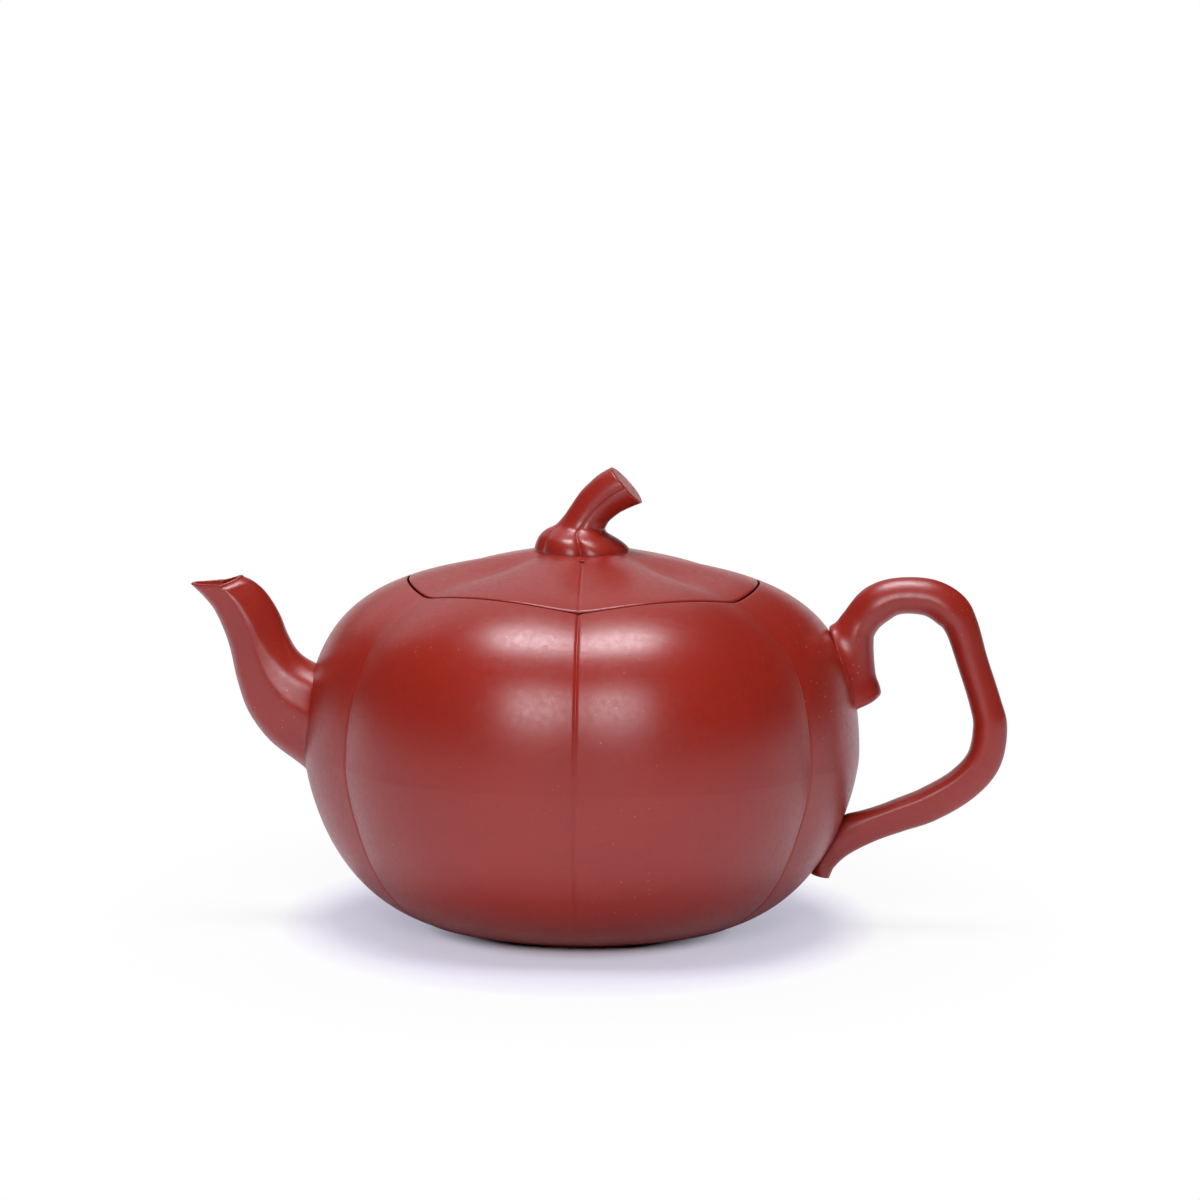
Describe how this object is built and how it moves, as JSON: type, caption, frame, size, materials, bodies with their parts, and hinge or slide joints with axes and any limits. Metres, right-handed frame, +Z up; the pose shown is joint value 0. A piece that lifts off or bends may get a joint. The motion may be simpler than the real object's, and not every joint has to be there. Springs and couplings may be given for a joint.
{
  "type": "clay teapot",
  "caption": "Unglazed red-brown clay teapot shaped like a lobed gourd, with a flush lift-off lid, a stalk knob, a bent spout and an ear handle.",
  "frame": {"origin": "centre of the flat base, on the axis of the lobes and the lid", "axes": "+Z up along the axis of the pot; -X towards the spout; +X towards the handle; -Y is the side with the lid's air hole"},
  "size_m": [0.1593, 0.1042, 0.0895],
  "materials": {
    "body_clay": "unglazed, fine-grained, rubbed to a soft sheen",
    "inner_clay": "unglazed, matt, fine-grained"
  },
  "bodies": {
    "pot": {"body_wall": "body_clay", "base_plate": "body_clay", "mouth_ring": "inner_clay", "strainer": "inner_clay", "spout": "body_clay", "handle": "body_clay"},
    "lid": {"lid_top": "body_clay", "lid_tongue": "inner_clay", "stem_knob": "body_clay"}
  },
  "joints": [
    {"name": "lid_lift", "type": "slide", "parent": "pot", "child": "lid", "axis": [0, 0, 1], "range_m": [0, 0.06]}
  ]
}
